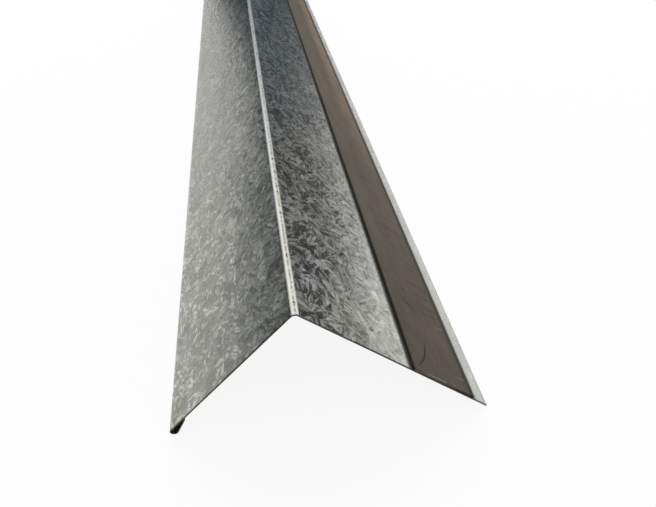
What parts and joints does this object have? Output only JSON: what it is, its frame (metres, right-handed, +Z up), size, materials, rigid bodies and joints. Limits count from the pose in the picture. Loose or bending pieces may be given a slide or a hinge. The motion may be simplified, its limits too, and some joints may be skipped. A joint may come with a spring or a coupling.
{
  "type": "ridge flashing",
  "caption": "Galvanised sheet folded to an inverted V with a rounded ridge, a rolled-under hem on the short leg and a sealing strip along the long leg.",
  "frame": {"origin": "middle of the length and of the width, on the level floor that the hem and the raw edge stand on", "axes": "+Y along the ridge, away from the end that faces the viewer; +X towards the roof leg with the strip, -X towards the hemmed drip leg; +Z up"},
  "size_m": [0.1688, 1, 0.0809],
  "materials": {
    "galvanised_steel": "hot-dip galvanised, feathery spangle, satin",
    "sealing_rubber": "brown-grey satin film, lightly scratched"
  },
  "bodies": {
    "root": {"bent_sheet": "galvanised_steel", "sealing_strip": "sealing_rubber"}
  },
  "joints": []
}
